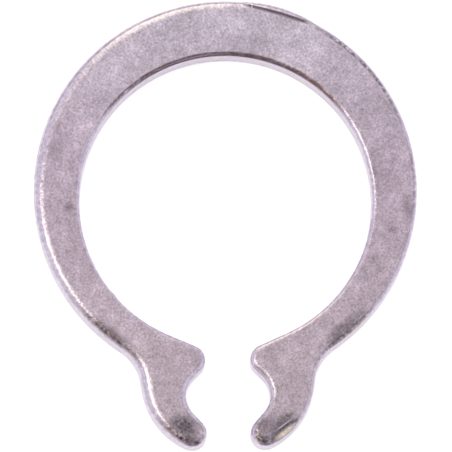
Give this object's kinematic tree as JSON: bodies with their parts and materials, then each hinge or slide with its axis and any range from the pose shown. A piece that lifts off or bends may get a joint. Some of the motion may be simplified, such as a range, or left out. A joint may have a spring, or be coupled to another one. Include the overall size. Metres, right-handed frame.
{
  "type": "external retaining ring",
  "caption": "Stamped spring steel ring that snaps into a shaft groove and stops a part from sliding off, with two hooked lugs for the pins of ring pliers.",
  "frame": {"origin": "centre of the bore in the plane of the lower flat face", "axes": "+Z along the bore axis, up out of the rolled face; +Y towards the wide back of the ring; the two lugs point to -Y, one each side of the YZ plane"},
  "size_m": [0.0122, 0.0144, 0.001],
  "materials": {
    "tumbled_steel": "matte tumbled spring steel with a warm lilac-grey cast, rolled upper edges, small stains and smudges"
  },
  "bodies": {
    "root": {"retaining_ring": "tumbled_steel"}
  },
  "joints": []
}
